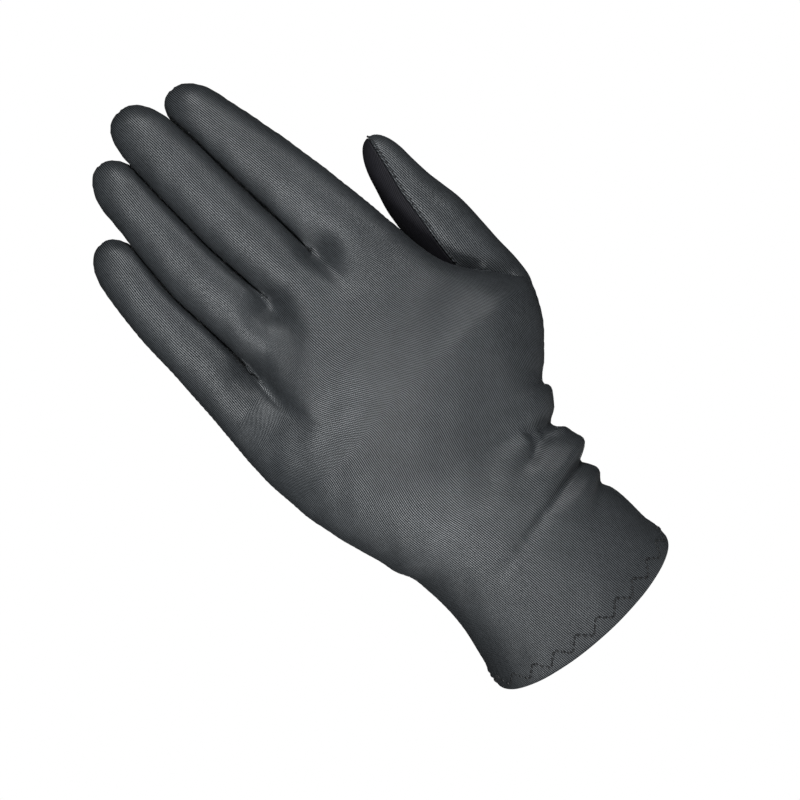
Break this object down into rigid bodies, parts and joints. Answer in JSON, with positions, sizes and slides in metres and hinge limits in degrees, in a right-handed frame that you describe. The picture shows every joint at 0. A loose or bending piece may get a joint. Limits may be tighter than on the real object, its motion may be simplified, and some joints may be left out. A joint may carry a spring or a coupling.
{
  "type": "glove liner",
  "caption": "Thin stretch-knit glove liner for the left hand, hollow, with closed fingers, a set-in thumb and a turned-in cuff hem",
  "frame": {"origin": "centre of the wrist opening, where a hand goes in and holds the glove", "axes": "+Z from the wrist opening to the fingertips, +X to the thumb side, the back of the hand faces -Y"},
  "size_m": [0.1173, 0.058, 0.2473],
  "materials": {
    "charcoal_knit": "fine charcoal stretch knit with a satin sheen and narrow wales",
    "black_knit": "near-black smooth stretch knit",
    "black_thread": "black sewing thread"
  },
  "bodies": {
    "root": {"back_panel": "charcoal_knit", "palm_panel": "charcoal_knit", "finger_fronts": "charcoal_knit", "thumb_back": "charcoal_knit", "thumb_front": "black_knit", "cuff_hem": "charcoal_knit"}
  },
  "joints": []
}
